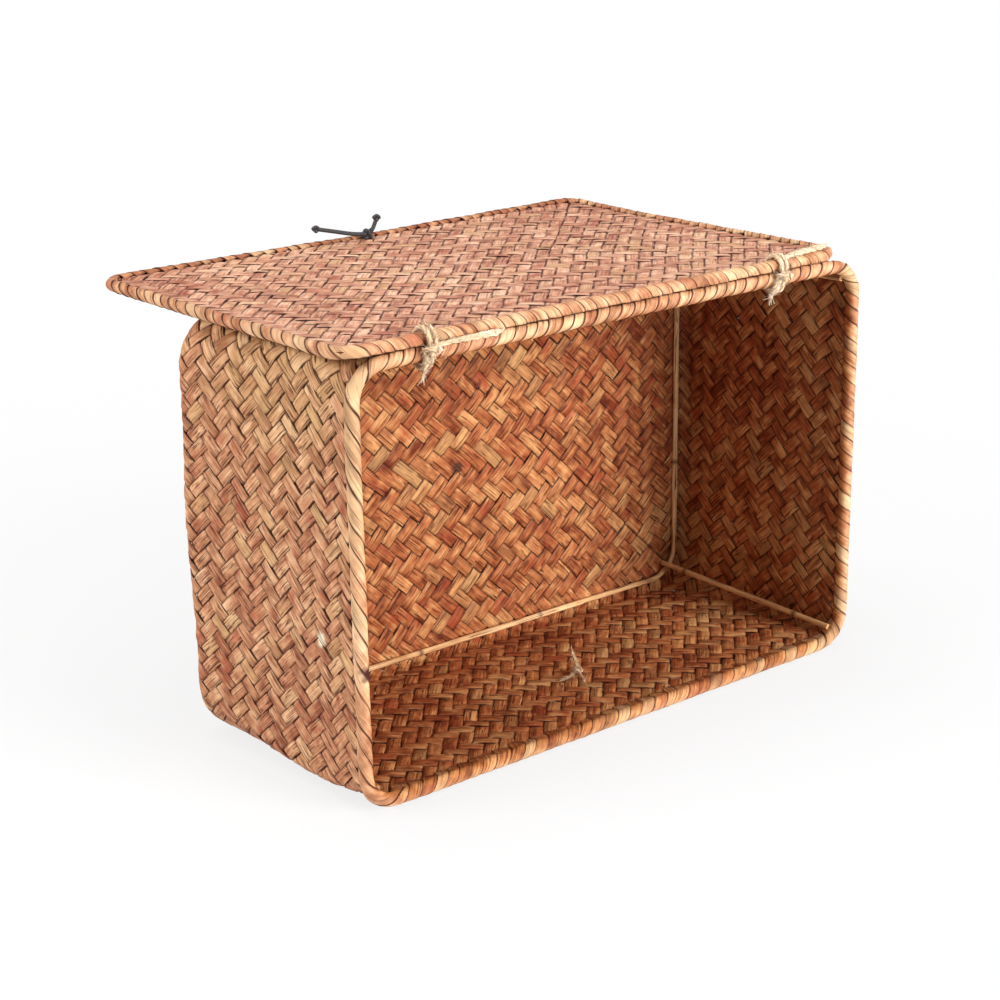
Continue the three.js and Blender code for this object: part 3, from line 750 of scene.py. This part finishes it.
seagrass = plantFinish("seagrass", seagrassLook)
lidSeagrass = plantFinish("lidSeagrass", lidLook)
plait("body", bodySurface, bodyForm["wallRows"], 1, seagrass, "box", "body_shell", halves=(-1, 1), seed=11)
plait("lid", lidSurface, weave["lidRows"], weave["lidRelief"], lidSeagrass, "lid", "lid_mat",
      halves=(0,), seed=12)


# Bound edges: slanted bands wound close together round the hoop and the mat's edge

def outlineTable(halfX, halfY, radius):
    # length along a rounded rectangle, place and outward direction, anticlockwise from its right side
    corners = [(1, 1), (-1, 1), (-1, -1), (1, -1)]
    rows = [(halfX, 0, 1, 0)]
    for quarter, (wayX, wayY) in enumerate(corners):
        for step in range(13):
            angle = (quarter + step / 12) * math.pi / 2
            outX, outY = math.cos(angle), math.sin(angle)
            rows.append((wayX * (halfX - radius) + radius * outX, wayY * (halfY - radius) + radius * outY,
                         outX, outY))
    rows.append(rows[0])
    rows = np.array(rows)
    return runningLength(rows[:, :2]), rows


def alongOutline(table, length):
    lengths, rows = table
    wrapped = np.mod(length, lengths[-1])
    return [np.interp(wrapped, lengths, rows[:, column]) for column in range(4)]


rimTable = outlineTable(*rimHoop)
lidTable = outlineTable(*lidHalf, lidForm["cornerRadius"])


def rimEdge(length, angle, radius):
    # angle 0 points into the wall, a quarter turn outwards
    x, y, outX, outY = alongOutline(rimTable, length)
    out = radius * np.sin(angle) + rimBinding["shift"]
    return boxPlace(x + out * outX, y + out * outY, rimBinding["middleDepth"] + radius * np.cos(angle))


def lidEdge(length, angle, radius):
    # angle 0 points into the mat, a quarter turn to the inner face, which is up
    x, y, outX, outY = alongOutline(lidTable, length)
    out = -radius * np.cos(angle)
    rise = radius * np.sin(angle) - lidBinding["shift"]
    return lidPlace(np.stack([x + out * outX, y + out * outY, rise], axis=-1))


bandForm = {  # of every band; a pair gives the limits of a random factor
    "section": ((-1, -0.05), (-0.85, 0.2), (0, 0.34), (0.85, 0.48), (1, 0.4), (0.9, 0.05), (0, -0.2),
                (-0.9, -0.3)),
    "from": 24, "to": 336, "jitter": (-7, 7),  # degrees round the edge
    "steps": 26,
    "width": (0.8, 1.2), "advance": (0.88, 1.12), "overlap": (1.06, 1.18), "thickness": (0.8, 1.25),
    "wave": 0.1,
    "tuckFrom": 275, "tuck": (0.5, 1.2),
    "toneSpread": 0.12, "hueRange": (0.1, 0.95),
    "endFade": (0.4, 0.2),  # reach of the painted shade at each band's ends, in radians, and what the front wall adds
    "insideFade": 50,  # degrees over which the painted inside shade sets in
}
rimBinding = {
    "pitch": 8.6, "advance": 17, "steepPitch": 7.5, "steepAdvance": 22,  # more at the left end
    "radius": 3.5, "shift": 0.6, "middleDepth": 4.0, "insideFrom": 190, "seed": 21,
    "tuck": (4.5, 2.4),  # how the ends lie on the front wall inside
    "backTone": 0,
}
lidBinding = {
    "pitch": 8.0, "advance": 15, "steepPitch": 1.0, "steepAdvance": 4,
    "radius": 3.0, "shift": 0.35, "insideFrom": 500, "seed": 22,
    "tuck": (0, 1.4),
    "backTone": 0.3,  # how much darker the bands get on the lid's front edge
}


def bandSpots(table, settings, rng):
    # middle and width of each band, and how far it belongs to the left, the near and the far side
    spots = []
    length = 0.0
    while length < table[0][-1]:
        _, _, outX, outY = alongOutline(table, length)
        steep, low, back = max(0.0, -outX) ** 2, max(0.0, -outY) ** 2, max(0.0, outY) ** 2
        width = (settings["pitch"] + settings["steepPitch"] * steep) * rng.uniform(*bandForm["width"])
        width *= 1 + abs(outX * outY)
        spots.append((length + width / 2, width, steep, low, back))
        length += width
    return [(middle * table[0][-1] / length, *others) for middle, *others in spots]


def windBinding(name, edge, table, settings, material, body, node):
    form = bandForm
    mesh = startMesh()
    rng = np.random.default_rng(settings["seed"])
    section = np.array(form["section"], float)
    for k, (middle, width, steep, low, back) in enumerate(bandSpots(table, settings, rng)):
        begin, end = [math.radians(form[key] + rng.uniform(*form["jitter"])) for key in ("from", "to")]
        angle = np.linspace(begin, end, form["steps"])[:, None]
        advance = (settings["advance"] + settings["steepAdvance"] * steep) * rng.uniform(*form["advance"])
        half = width / 2 * rng.uniform(*form["overlap"])
        lean = math.atan2(advance, settings["radius"] * fullTurn)
        skew = half * math.sin(2 * lean) / settings["radius"] / 4  # ends cut nearly square to the band
        around = angle - skew * section[:, 0]
        turned = np.degrees(around)
        length = middle + advance * (around - math.pi) / fullTurn + half * section[:, 0]
        thick = section[:, 1] * rng.uniform(*form["thickness"])
        radius = settings["radius"] + thick + form["wave"] * np.sin(3 * angle + k)
        tucked = low * np.clip((turned - form["tuckFrom"]) / (form["to"] - form["tuckFrom"]), 0, 1)
        reach, level = settings["tuck"]
        deep = radius * np.cos(around) + tucked**2 * reach * rng.uniform(*form["tuck"])
        inward = -radius * np.sin(around)
        inward = inward + tucked * (level + thick - inward)
        grid = edge(length, np.arctan2(-inward, deep), np.hypot(inward, deep))
        # painted shade towards each band's ends, where they tuck in
        fade, lowFade = form["endFade"]
        ends = np.clip(1 - np.minimum(angle - begin, end - angle) / (fade + lowFade * low), 0, 1)
        # the band's inner part, and nearly all of a front-wall band, takes the painted inside shade
        inside = np.clip((turned - settings["insideFrom"]) / form["insideFade"] + 0.9 * low, 0, 1)
        addTube(mesh, grid, along=angle * settings["radius"], across=section[None, :, 0], seed=rng.random(),
                tone=np.clip(rng.normal(0.5, form["toneSpread"]) - settings["backTone"] * back, 0, 1),
                hue=rng.uniform(*form["hueRange"]), shade=ends, inner=inside)
    finishMesh(name, mesh, material, body, [node])


straw = plantFinish("bindingStraw", bindingLook)
windBinding("rim_bands", rimEdge, rimTable, rimBinding, straw, "box", "rim_wrapping")
windBinding("lid_bands", lidEdge, lidTable, lidBinding, straw, "lid", "lid_wrapping")


# Cane rods inside the box, with the cane's own joints

rodForm = {
    "radius": 1.7, "sides": 12, "step": 3.0, "hoopCorner": 20, "fit": 0.3, "seed": 31,
    "jointEvery": 92, "jointSwell": 0.4, "jointWidth": 1.6,
    "thickWave": (0.03, 0.09), "toneWave": (0.15, 0.03),  # size, radians per mm
}
hoopLow, hoopHigh = nodeBox("base_hoop")


def addRod(mesh, path, places, rng):
    every = rodForm["jointEvery"]
    start = rng.uniform(0.2, 0.8) * every
    nearest = np.mod(places - start + every / 2, every) - every / 2
    joint = np.exp(-((nearest / rodForm["jointWidth"]) ** 2))
    thick, tone = [size * np.sin(places * turn) for size, turn in (rodForm["thickWave"], rodForm["toneWave"])]
    radius = rodForm["radius"] * (1 + thick) + rodForm["jointSwell"] * joint
    addRound(mesh, path, radius, rodForm["sides"], places, seed=rng.random(), tone=(0.5 + tone)[:, None],
             hue=rng.uniform(0.2, 0.8), shade=joint[:, None])


def cornerRoute(wayX, wayZ, hoopHalf):
    # from inside the base hoop's bend, along the wall's corner, up to the rim
    slant = math.sqrt(0.5)

    def corner(depth):
        *halves, radius = wallAt(depth)
        return np.array(halves) - radius + (radius - matHalf) * slant

    footReach = (rodForm["hoopCorner"] - 2 * rodForm["radius"] - 2 * rodForm["fit"]) * slant
    foot = hoopHalf - rodForm["hoopCorner"] + footReach
    footDepth = boxDepth - 2 * matHalf - rodForm["fit"]
    footInset = corner(footDepth) - foot
    headInset = (rodForm["fit"] + rodForm["radius"]) * slant
    headDepth = 2 * (bodyForm["beadRadius"] - rodForm["radius"])
    route = []
    for share in np.linspace(0, 1, 7):
        depth = footDepth + (headDepth - footDepth) * share
        x, z = corner(depth) - footInset - (headInset - footInset) * share
        route.append(boxPlace(wayX * x + floorSlide * flareAt(depth), wayZ * z, depth))
    return route


def makeRods(material):
    rng = np.random.default_rng(rodForm["seed"])
    half = (hoopHigh - hoopLow)[[0, 2]] / 2 - rodForm["radius"]
    table = outlineTable(*half, rodForm["hoopCorner"])
    lengths = np.arange(0, table[0][-1] + 2 * rodForm["step"], rodForm["step"])
    x, y, _, _ = alongOutline(table, lengths)
    depth = (hoopLow[1] + hoopHigh[1]) / 2 - mouthY
    mesh = startMesh()
    addRod(mesh, boxPlace(x + floorSlide, y, np.full(len(x), depth)), lengths, rng)
    finishMesh("base_rod", mesh, material, "box", ["base_hoop"])
    ways = {"front_left": (-1, -1), "front_right": (1, -1), "back_left": (-1, 1), "back_right": (1, 1)}
    for place, (wayX, wayZ) in ways.items():
        path, places = smoothPath(cornerRoute(wayX, wayZ, half), rodForm["step"])
        mesh = startMesh()
        addRod(mesh, path, places, rng)
        finishMesh(f"corner_rod_{place}", mesh, material, "box", [f"corner_post_{place}"])


cane = plantFinish("cane", caneLook)
makeRods(cane)
for hidden in ("rim_hoop", "lid_hoop"):
    coatNode(hidden, cane)


# Jute ties that hinge the lid, and the button's thread

tieForm = {
    "radius": 1.3, "layPitch": 9.0, "pale": 0.55,
    "coilHairs": 350, "endHairs": 233, "brush": 14,
    "pitch": 3.5, "turns": 2, "spacing": 244, "gap": 0.4,
    "knotRadii": (5.2, 2.9, 2.9), "knotLine": 0.72, "knotShare": 0.41,
}
twineForm = {  # a pair gives the limits of a random value, or a radius at both ends
    "plies": 3, "plyCircle": 0.38, "plyRadius": 0.62, "plySides": 8, "step": 0.6,
    "unevenness": 0.08, "toneSpread": 0.05, "hueRange": (0.3, 0.7),
    "brushFrom": (0.75, 0.98), "brushSpread": 0.3,
    "brushLength": (1.8, 4.2), "brushRadius": (0.34, 0.1),  # shares of the twine's radius
    "hairLength": (1.0, 3.6), "hairRadius": (0.12, 0.05), "hairSpread": 0.5,  # mm
}


def addTwine(mesh, points, form, rng, hairs=0, slack=1, swell=((0, 1), (1, 1)), brush=0):
    # loosely spun plies with stray fibres; swell gives the thickness at shares of the length
    twine, radius, pale = twineForm, form["radius"], form["pale"]
    path, places = smoothPath(points, radius * twine["step"])
    right, up, forward = directions(path)
    tone = rng.normal(pale, twine["toneSpread"])
    thick = radius * np.interp(places / places[-1], *np.transpose(swell))
    thick = thick * (1 + twine["unevenness"] * np.sin(places * 1.7) * np.sin(places * 0.6))
    for ply in range(twine["plies"]):
        angle = places * fullTurn / (form["layPitch"] * slack) + ply * fullTurn / twine["plies"]
        spoke = right * np.cos(angle)[:, None] + up * np.sin(angle)[:, None]
        addRound(mesh, path + spoke * thick[:, None] * twine["plyCircle"], thick * twine["plyRadius"],
                 twine["plySides"], places, seed=rng.random(),
                 tone=tone + rng.normal(0, twine["toneSpread"]), hue=rng.uniform(*twine["hueRange"]))
    share = np.linspace(0, 1, 5)
    for _ in range(brush):  # the cut end's loose fibres
        k = int(len(path) * rng.uniform(*twine["brushFrom"]))
        way = forward[k] * share[:, None] + rng.normal(0, twine["brushSpread"], 3) * share[:, None] ** 2
        fibre = path[k] + way * radius * rng.uniform(*twine["brushLength"])
        addRound(mesh, fibre, radius * np.linspace(*twine["brushRadius"], 5), 5, share * radius * 4,
                 seed=rng.random(), tone=pale + rng.uniform(0, 0.3), hue=0.5)
    for _ in range(hairs):
        k = int(rng.integers(0, len(path)))
        spin = rng.uniform(0, fullTurn)
        out = right[k] * math.cos(spin) + up[k] * math.sin(spin)
        drift = rng.normal(0, twine["hairSpread"], 3)
        drift = drift + forward[k] * rng.choice((-1, 1)) * rng.uniform(0.5, 1.6)
        reach = rng.uniform(*twine["hairLength"]) * radius / tieForm["radius"]
        away = share[:, None] * reach
        hair = path[k] + out * (thick[k] * 0.8 + away * 0.35) + drift * away * 0.6
        addRound(mesh, hair, np.linspace(*twine["hairRadius"], 5), 3, share * reach,
                 seed=rng.random(), tone=pale + 0.25, hue=0.5)


def tieTurn(distance):
    # one turn round the rim's bead and the lid's, from the middle of its front
    clear = tieForm["gap"] + tieForm["radius"]
    lower, upper = bodyForm["beadRadius"] + clear, lidBead + clear
    lean = math.acos((lower - upper) / distance)
    front, back = math.pi / 2 + lean, math.pi / 2 - lean
    low = [(lower * math.cos(a), lower * math.sin(a)) for a in np.linspace(front, back + fullTurn, 12)]
    high = [(upper * math.cos(a), distance + upper * math.sin(a)) for a in np.linspace(back, front, 10)]
    middle = ((low[0][0] + high[-1][0]) / 2, (low[0][1] + high[-1][1]) / 2)
    return [middle, *low, *high, middle]


def makeTie(name, way, tails, node, material, seed):
    form = tieForm
    rng = np.random.default_rng(seed)
    mesh = startMesh()
    base = rimLine + (way * form["spacing"] / 2, 0, 0)
    distance = hingeLine[2] - rimLine[2]
    turn = np.array(tieTurn(distance))
    lengths = runningLength(turn)
    points = []
    for lap in range(form["turns"]):
        for k in range(1 if lap else 0, len(turn)):
            travelled = lap + lengths[k] / lengths[-1]
            points.append(base + ((travelled - form["turns"] / 2) * form["pitch"], *turn[k]))
    addTwine(mesh, points, form, rng, form["coilHairs"])
    reach = bodyForm["beadRadius"] + form["gap"]
    centre = base + (0, -reach - form["knotRadii"][1], distance * form["knotShare"])
    addTwine(mesh, trefoil(centre, form["knotRadii"], form["knotLine"]), form, rng, form["endHairs"])
    for shares, swell in tails:
        tail = [base + np.array(share) * reach for share in shares]
        addTwine(mesh, tail, form, rng, form["endHairs"], slack=2, swell=swell, brush=form["brush"])
    finishMesh(name, mesh, material, "hinge_ties", [node])


# The knots' ends in shares of the rim edge's radius, each with its thickness along its length
hangingSwell = ((0, 1), (0.6, 1.25), (1, 0.5))
hangingTail = ([(-0.2, -1.5, 0.7), (-0.5, -1.5, 0.1), (-0.8, -1.42, -0.6), (-1, -1.36, -1.5)], hangingSwell)
slantTail = ([(-0.3, -1.5, 0.6), (-0.9, -1.5, 0), (-1.5, -1.42, -0.7), (-2, -1.36, -1.4)], hangingSwell)
creviceTail = ([(0.4, -1.3, 0.95), (2.2, -0.86, 1.02), (5, -0.86, 1.04), (7.4, -0.88, 1.04),
                (9.2, -0.98, 1.08)], ((0, 1.1), (0.3, 1.0), (0.7, 1.4), (0.92, 1.5), (1, 0.7)))
longTail = ([(0.5, -0.72, 2.6), (1.4, -0.62, 2.7), (2.6, -0.42, 2.72), (4.8, -0.15, 2.74), (6.8, 0.05, 2.76),
             (8.4, 0.2, 2.72)], ((0, 1), (0.3, 1.2), (0.7, 1.4), (0.92, 1.3), (1, 0.6)))
jute = plantFinish("jute", juteLook)
makeTie("left_tie", -1, [hangingTail, creviceTail], "hinge_tie_left", jute, 41)
makeTie("right_tie", 1, [slantTail, longTail], "hinge_tie_right", jute, 42)

threadForm = {
    # pale is low here, so the thread's jute is darker than the ties': painted shade
    "radius": 0.9, "layPitch": 7.0, "pale": 0.2,
    "hairs": 120, "brush": 22, "swell": ((0, 1.1), (0.5, 1.2), (1, 1.0)), "seed": 51,
    "holeSpacing": 5.2, "bend": 0.75, "dish": 1.8,
    "knotRadii": (3.6, 3.0, 2.2), "knotLine": 0.75, "knotSink": 0.5,
    "ends": (  # in shares of the knot's half length: sideways, towards the floor and up
        ((0.3, 0, -0.2), (0.9, 0.9, -1.3), (1.4, 1.9, -2.6)),
        ((0.3, 0, 0.2), (-0.8, 0.1, 1.8), (-1.9, 0.3, 4.0)),
        ((-0.3, 0, 0.1), (-1.6, -0.1, 0.8), (-2.9, -0.3, 0.6)),
    ),
}
buttonLow, buttonHigh = nodeBox("closure_button")
tieLow, _ = nodeBox("button_tie")


def makeButtonThread(form, material):
    # down through one hole, across under the button and up through the other, to the knot inside
    rng = np.random.default_rng(form["seed"])
    mesh = startMesh()
    middle = (buttonLow + buttonHigh) / 2
    half = form["holeSpacing"] / 2
    dishFloor = buttonLow[2] + form["dish"]
    crossing = tieLow[2] + form["radius"]
    knotRise = buttonHigh[2] + 2 * form["knotRadii"][2] - form["knotSink"]

    def place(x, z, y=0.0):
        return np.array([middle[0] + x, middle[1] - y, z])

    leg = [(half, knotRise), (half, dishFloor + form["radius"]), (half, (dishFloor + crossing) / 2),
           (half * form["bend"], crossing)]
    thread = [place(-x, z) for x, z in leg] + [place(0, crossing)] + [place(x, z) for x, z in reversed(leg)]
    addTwine(mesh, thread, form, rng)
    knot = trefoil(place(0, knotRise), form["knotRadii"], form["knotLine"])
    addTwine(mesh, knot, form, rng, form["hairs"])
    reach = form["knotRadii"][0]
    for shares in form["ends"]:
        tail = [place(x * reach, knotRise + y * reach, up * reach) for x, y, up in shares]
        addTwine(mesh, tail, form, rng, form["hairs"], swell=form["swell"], brush=form["brush"])
    finishMesh("button_thread", mesh, material, "box", ["button_tie"])


makeButtonThread(threadForm, jute)

buttonLook = {
    "grain": {"Scale": 260, "Detail": 5, "Distortion": 1.6},
    "tones": [(0.3, paint(58, 34, 20)), (0.5, paint(104, 66, 40)), (0.72, paint(140, 96, 62))],
    "bump": 0.25, "bumpDepth": 0.0003, "roughness": 0.4, "gloss": 0.5,
}


def buttonFinish(look):
    material, shader, make, _, _, ramp = newMaterial("buttonShell")
    here = make("ShaderNodeTexCoord").outputs["Object"]
    grain = make("ShaderNodeTexNoise", {"Vector": here, **look["grain"]}).outputs[0]
    return finishShader(material, shader, make, ramp(grain, look["tones"]), grain, look)


coatNode("closure_button", buttonFinish(buttonLook))
print("button finished")


# Floor, background and light

studio = {
    "floorSize": 14,  # metres
    "floorPaint": (0.75, 0.75, 0.75, 1),
    "glowStops": [(0.25, 0.78), (0.6, 0.96), (1.0, 1.0)],  # floor's own white, by distance in metres
    "ambient": 0.2,
    "aim": (0, 0, 0.12),
    "lamps": {
        "frontLamp": ((0.75, -2.3, 0.8), 1.2, 96),
        "leftLamp": ((-2.0, 0.6, 0.9), 1.4, 38),
        "topLamp": ((-0.2, 0.2, 2.2), 1.6, 27),
    },
}


def seenDirectly(make, calc):
    path = make("ShaderNodeLightPath").outputs
    glossy = calc("MAXIMUM", path["Is Glossy Ray"], path["Is Transmission Ray"])
    return calc("MAXIMUM", path["Is Camera Ray"], glossy)


def makeStudio(settings):
    lowest = min(0.0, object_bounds()[0].z)
    half = settings["floorSize"] / 2
    data = bpy.data.meshes.new("floor")
    corners = [(x * half, y * half, lowest) for x, y in ((-1, -1), (1, -1), (1, 1), (-1, 1))]
    data.from_pydata(corners, [], [(0, 1, 2, 3)])
    floor = addObject("floor", data)
    floor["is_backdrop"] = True
    material = bpy.data.materials.new("paleFloor")
    material.use_nodes = True
    tree = material.node_tree
    tree.nodes.clear()
    make, calc, _, ramp = nodeTools(tree)
    matte = make("ShaderNodeBsdfDiffuse", {"Color": settings["floorPaint"]}).outputs[0]
    glow = make("ShaderNodeEmission", {"Color": (1, 1, 1, 1), "Strength": 1}).outputs[0]
    away = make("ShaderNodeVectorMath", {0: make("ShaderNodeTexCoord").outputs["Object"]}, operation="LENGTH")
    glowing = ramp(away.outputs["Value"], settings["glowStops"])
    share = calc("MULTIPLY", seenDirectly(make, calc), glowing)
    both = make("ShaderNodeMixShader", {0: share, 1: matte, 2: glow}).outputs[0]
    make("ShaderNodeOutputMaterial", {"Surface": both})
    data.materials.append(material)

    world = bpy.data.worlds.new("studio")
    bpy.context.scene.world = world
    world.use_nodes = True
    world.node_tree.nodes.clear()
    make, calc, _, _ = nodeTools(world.node_tree)
    soft = make("ShaderNodeBackground", {"Color": (1, 1, 1, 1), "Strength": settings["ambient"]}).outputs[0]
    white = make("ShaderNodeBackground", {"Color": (1, 1, 1, 1), "Strength": 1}).outputs[0]
    both = make("ShaderNodeMixShader", {0: seenDirectly(make, calc), 1: soft, 2: white}).outputs[0]
    make("ShaderNodeOutputWorld", {"Surface": both})

    for name, (place, size, power) in settings["lamps"].items():
        lamp = bpy.data.lights.new(name, "AREA")
        lamp.size = size
        lamp.energy = power
        holder = addObject(name, lamp)
        holder.location = place
        toward = Vector(settings["aim"]) - Vector(place)
        holder.rotation_euler = toward.to_track_quat("-Z", "Y").to_euler()
    print("floor, background and lamps set")


makeStudio(studio)
